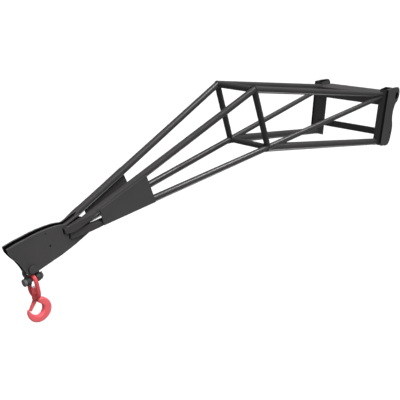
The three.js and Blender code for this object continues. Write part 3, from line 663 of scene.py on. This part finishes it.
# ------------------------------------------------------------------ forgings
def catmull(points, closed, n):
    """Centripetal spline through the points, sampled at n equal steps of its length."""
    P_ = [Vector(p) for p in points]
    L = len(P_)
    segs = L if closed else L - 1
    dense = []
    for i in range(segs):
        if closed:
            p0, p1, p2, p3 = P_[(i - 1) % L], P_[i], P_[(i + 1) % L], P_[(i + 2) % L]
        else:
            p1, p2 = P_[i], P_[i + 1]
            p0 = P_[i - 1] if i > 0 else p1 * 2 - p2
            p3 = P_[i + 2] if i + 2 < L else p2 * 2 - p1
        t0 = 0.0
        t1 = t0 + max(1e-6, (p1 - p0).length) ** 0.5
        t2 = t1 + max(1e-6, (p2 - p1).length) ** 0.5
        t3 = t2 + max(1e-6, (p3 - p2).length) ** 0.5
        for k in range(24):
            t = t1 + (t2 - t1) * k / 24
            a1 = p0 * ((t1 - t) / (t1 - t0)) + p1 * ((t - t0) / (t1 - t0))
            a2 = p1 * ((t2 - t) / (t2 - t1)) + p2 * ((t - t1) / (t2 - t1))
            a3 = p2 * ((t3 - t) / (t3 - t2)) + p3 * ((t - t2) / (t3 - t2))
            b1 = a1 * ((t2 - t) / (t2 - t0)) + a2 * ((t - t0) / (t2 - t0))
            b2 = a2 * ((t3 - t) / (t3 - t1)) + a3 * ((t - t1) / (t3 - t1))
            dense.append(b1 * ((t2 - t) / (t2 - t1)) + b2 * ((t - t1) / (t2 - t1)))
    dense.append(P_[0].copy() if closed else P_[-1].copy())
    cum = [0.0]
    for p, q in zip(dense, dense[1:]):
        cum.append(cum[-1] + (q - p).length)
    out, k = [], 0
    for i in range(n if closed else n + 1):
        s_ = cum[-1] * i / n
        while k < len(cum) - 2 and cum[k + 1] < s_:
            k += 1
        f = (s_ - cum[k]) / max(1e-12, cum[k + 1] - cum[k])
        out.append(dense[k].lerp(dense[k + 1], f))
    return out


def mesh_object(name, bm):
    bmesh.ops.recalc_face_normals(bm, faces=bm.faces)
    me = bpy.data.meshes.new(name)
    bm.to_mesh(me)
    bm.free()
    ob = bpy.data.objects.new(name, me)
    scene.collection.objects.link(ob)
    return ob


def skin(name, rings, closed=False):
    bm = bmesh.new()
    V = [[bm.verts.new(p) for p in r] for r in rings]
    n, R = len(rings[0]), len(rings)
    for i in range(R if closed else R - 1):
        A, B = V[i], V[(i + 1) % R]
        for j in range(n):
            bm.faces.new((A[j], A[(j + 1) % n], B[(j + 1) % n], B[j]))
    if not closed:
        bm.faces.new(V[0][::-1])
        bm.faces.new(V[-1])
    return mesh_object(name, bm)


def sweep(name, centre, radius, flat_axis, closed=False, n=28):
    rings, m = [], len(centre)
    side = Vector(flat_axis)
    for i, c in enumerate(centre):
        tg = (centre[(i + 1) % m] - centre[i - 1]) if closed or 0 < i < m - 1 else (centre[1] - centre[0] if i == 0 else centre[-1] - centre[-2])
        nrm = side.cross(tg.normalized()).normalized()
        rings.append([c + (nrm * math.cos(2 * math.pi * j / n) + side * math.sin(2 * math.pi * j / n)) * radius for j in range(n)])
    return skin(name, rings, closed)


def cyl(name, a, b, r, n=48, bevel=0.0):
    d = (b - a)
    u = d.orthogonal().normalized()
    v = d.cross(u).normalized()
    e = d.normalized() * bevel
    prof = [(a, r - bevel), (a + e, r), (b - e, r), (b, r - bevel)] if bevel else [(a, r), (b, r)]
    rings = [[c + (u * math.cos(2 * math.pi * j / n) + v * math.sin(2 * math.pi * j / n)) * q for j in range(n)] for c, q in prof]
    return skin(name, rings)


def cut_box(name, lo, hi):
    bm = bmesh.new()
    bmesh.ops.create_cube(bm, size=1.0)
    for v in bm.verts:
        v.co = Vector(((lo[i] + hi[i]) / 2 + v.co[i] * (hi[i] - lo[i]) for i in range(3)))
    return mesh_object(name, bm)


def combine(ob, others, op):
    for o in others:
        md = ob.modifiers.new("bool", "BOOLEAN")
        md.operation = op
        md.solver = "EXACT"
        md.object = o
        apply_modifiers(ob)
        bpy.data.objects.remove(o, do_unlink=True)
    return ob


def forge(ob, voxel, passes=4, factor=0.5):
    """Even out the joined shapes into one forging with soft fillets."""
    rm = ob.modifiers.new("remesh", "REMESH")
    rm.mode = "VOXEL"
    rm.voxel_size = voxel * MM
    rm.use_smooth_shade = True
    sm = ob.modifiers.new("smooth", "SMOOTH")
    sm.factor = factor
    sm.iterations = passes
    return apply_modifiers(ob)


def finish_piece(ob, name, material, body, node_name):
    ob.name = name
    ob.data.materials.clear()
    ob.data.materials.append(material)
    ob.data.shade_smooth()
    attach(ob, body)
    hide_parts(node_name)
    return ob


BX, BZ = 4037.0, -383.0
# shackle bow
R_, cz = 31.4 + 11.0, -307 + 13 + 1.2 - 31.4
legx = 18.25 + 21.9 / 2 - 0.4
ctr = [(BX - legx, BZ), (BX - legx - 0.6, BZ + 14)]
ctr += [(BX + R_ * math.cos(math.radians(214 - i * 248 / 16)), cz + R_ * math.sin(math.radians(214 - i * 248 / 16))) for i in range(17)]
ctr += [(BX + legx + 0.6, BZ + 14), (BX + legx, BZ)]
bow = sweep("bow", catmull([T(x, 0, z) for x, z in ctr], False, 110), 10.9 * MM, (0, 1, 0))
combine(bow, [cyl("ear", T(BX + q * 18.25, 0, BZ), T(BX + q * 40.15, 0, BZ), 24.9 * MM, 56, 1.5 * MM) for q in (1, -1)], "UNION")
combine(bow, [cut_box("c", T(BX - 18.25, -40, BZ - 40), T(BX + 18.25, 40, BZ + 22)),
              cyl("h", T(BX - 60, 0, BZ), T(BX + 60, 0, BZ), 12.9 * MM),
              cut_box("c1", T(BX + 40.15, -40, BZ - 30), T(BX + 70, 40, BZ + 22.5)),
              cut_box("c2", T(BX - 70, -40, BZ - 30), T(BX - 40.15, 40, BZ + 22.5))], "DIFFERENCE")
forge(bow, 0.9, 3)
finish_piece(bow, "forged_shackle_bow", FORGED, "shackle", "shackle_bow")
rounded_copy("shackle_bolt", 1.0 * MM, 3, 25, "shackle", BOLT)
rounded_copy("shackle_nut", 1.0 * MM, 3, 25, "shackle", NUT)
rounded_copy("split_pin", 0.3 * MM, 2, 40, "shackle", ZINC)

# swivel eye
top = BZ + 12.5 + 0.3 + 11.5
half_loop = [(20, 6), (33, 23), (38, 46), (42, 76), (43, 98), (39.5, 115), (31, 127.5), (17, 136)]
ctr = [(0, top)] + [(y, top - d) for y, d in half_loop] + [(0, top - 138.5)] + [(-y, top - d) for y, d in sorted(half_loop, key=lambda p: -p[1])]
eye = sweep("eye", catmull([T(BX, y, z) for y, z in ctr], True, 170), 11.4 * MM, (1, 0, 0), True)
combine(eye, [cyl("boss", T(BX, 0, -509), T(BX, 0, -470), 18.4 * MM, 56, 1.5 * MM)], "UNION")
combine(eye, [cyl("bore", T(BX, 0, -515), T(BX, 0, -465), 12.6 * MM), cyl("seat", T(BX, 0, -469.8), T(BX, 0, -430), 17.2 * MM)], "DIFFERENCE")
forge(eye, 0.9, 3)
finish_piece(eye, "forged_swivel_eye", RED_SHADED_EYE, "eye", "swivel_eye")

# hook body
st = [(-12, -434, 12, -434, 12), (-12, -470, 12, -470, 12), (-12, -509.2, 12, -509.2, 12), (-18, -509.6, 18, -509.6, 16), (-29, -514, 12, -517, 17),
      (-42, -520, 0, -526, 17), (-57, -532, -8, -538, 16.5), (-72, -549, -19, -549, 16.5), (-82, -572, -31, -562, 17), (-85.5, -600, -37, -583, 17),
      (-76.5, -634.5, -33, -603, 17), (-57, -655.5, -24, -616, 17), (-29.5, -667, -12, -622.5, 17), (2, -666.5, 2, -622.5, 17), (31, -652, 16, -614, 16.5),
      (48.5, -631.5, 30, -600, 15.5), (59, -605, 38, -588, 14), (62, -581, 46, -573, 11.5), (58.5, -561, 50, -560, 7)]
outer_c = catmull([Vector((a[0], 0, a[1])) for a in st[3:]], False, 90)
inner_c = catmull([Vector((a[2], 0, a[3])) for a in st[3:]], False, 90)
thick = catmull([Vector((i, 0, a[4])) for i, a in enumerate(st[3:])], False, 90)
rings = []
for i, (o, n_, tk) in enumerate(zip(outer_c, inner_c, thick)):
    mx, mz, hx, hz = (o.x + n_.x) / 2, (o.z + n_.z) / 2, (o.x - n_.x) / 2, (o.z - n_.z) / 2
    e = 1.0 - 0.52 * min(1.0, i / 10)
    ring = []
    for j in range(32):
        t = 2 * math.pi * (j + 0.5) / 32
        ca, sa = math.cos(t), math.sin(t)
        ca = math.copysign(abs(ca) ** e, ca)
        sa = math.copysign(abs(sa) ** e, sa)
        ring.append(T(BX + mx + hx * ca, tk.z * sa, mz + hz * ca))
    rings.append(ring)
hook = skin("hook", rings)
LX, LZ = BX + 8, -520.0
combine(hook, [cyl("shank", T(BX, 0, -512), T(BX, 0, -434), 11.9 * MM, 48, 1.0 * MM)], "UNION")
combine(hook, [cyl("l1", T(LX, 5.5, LZ), T(LX, 30, LZ), 12.5 * MM), cyl("l2", T(LX, -30, LZ), T(LX, -5.5, LZ), 12.5 * MM)], "DIFFERENCE")
combine(hook, [cyl("lug", T(LX, -5.4, LZ), T(LX, 5.4, LZ), 7.9 * MM, 32)], "UNION")
combine(hook, [cyl("ph", T(LX, -20, LZ), T(LX, 20, LZ), 3.5 * MM, 24)], "DIFFERENCE")
forge(hook, 0.95, 2)
finish_piece(hook, "forged_hook_body", RED, "hook", "hook_body")
rounded_copy("swivel_nut", 1.0 * MM, 3, 25, "hook", RED_LIT_NUT)
cap = cyl("cap", T(BX, 0, -441), T(BX, 0, -432.6), 9.5 * MM, 40, 0.9 * MM)
cap.name = "shank_end_bright"
cap.data.materials.append(CAPMAT)
cap.data.shade_smooth()
cap.data.set_sharp_from_angle(angle=math.radians(35))
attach(cap, "hook")
rounded_copy("latch_pin", 0.4 * MM, 2, 30, "hook", ZINC)
rounded_copy("latch", 0.7 * MM, 2, 30, "latch", RED)

# ------------------------------------------------------------------ floor and light
fl = bpy.data.meshes.new("floor")
bm = bmesh.new()
bmesh.ops.create_grid(bm, x_segments=1, y_segments=1, size=4000.0)
bm.to_mesh(fl)
bm.free()
floor = bpy.data.objects.new("floor", fl)
scene.collection.objects.link(floor)
floor.location = (2.0, 0.0, -4.5)
floor.visible_diffuse = False
floor.visible_glossy = False
floor.visible_shadow = False
m, nt, bs = new_material("floor_pale")
g = noise(nt, coords(nt), 1.5, 3.0, 0.5)
nt.links.new(mixc(nt, maprange(nt, g, 0.3, 0.7), (0.77, 0.77, 0.77), (0.79, 0.79, 0.79)), bs.inputs["Base Color"])
bs.inputs["Roughness"].default_value = 0.9
bs.inputs["Specular IOR Level"].default_value = 0.1
fl.materials.append(m)

world = bpy.data.worlds.new("world")
scene.world = world
world.use_nodes = True
bg = world.node_tree.nodes["Background"]
bg.inputs[0].default_value = (1.0, 1.0, 1.0, 1.0)
bg.inputs[1].default_value = 0.13


def soft_sun(name, towards, energy, angle, glossy=False, diffuse=True):
    d = bpy.data.lights.new(name, "SUN")
    d.energy = energy
    d.angle = math.radians(angle)
    o = bpy.data.objects.new(name, d)
    scene.collection.objects.link(o)
    o.rotation_mode = "QUATERNION"
    o.rotation_quaternion = Vector(towards).to_track_quat("-Z", "Y")
    o.visible_glossy = glossy
    o.visible_diffuse = diffuse
    return o


soft_sun("soft_key", (0.15, -0.45, -0.88), 4.4, 40)
soft_sun("soft_fill", (-0.82, -0.22, -0.45), 0.7, 60)
soft_sun("floor_bounce", (-0.40, -0.30, 0.86), 0.4, 50)
soft_sun("sheen_high", (0.62, -0.22, -0.75), 1.3, 16, True, False)
soft_sun("sheen_low", (0.62, -0.24, 0.75), 0.50, 22, True, False)

scene.view_settings.view_transform = "Standard"
scene.view_settings.look = "None"
scene.view_settings.exposure = 0.0
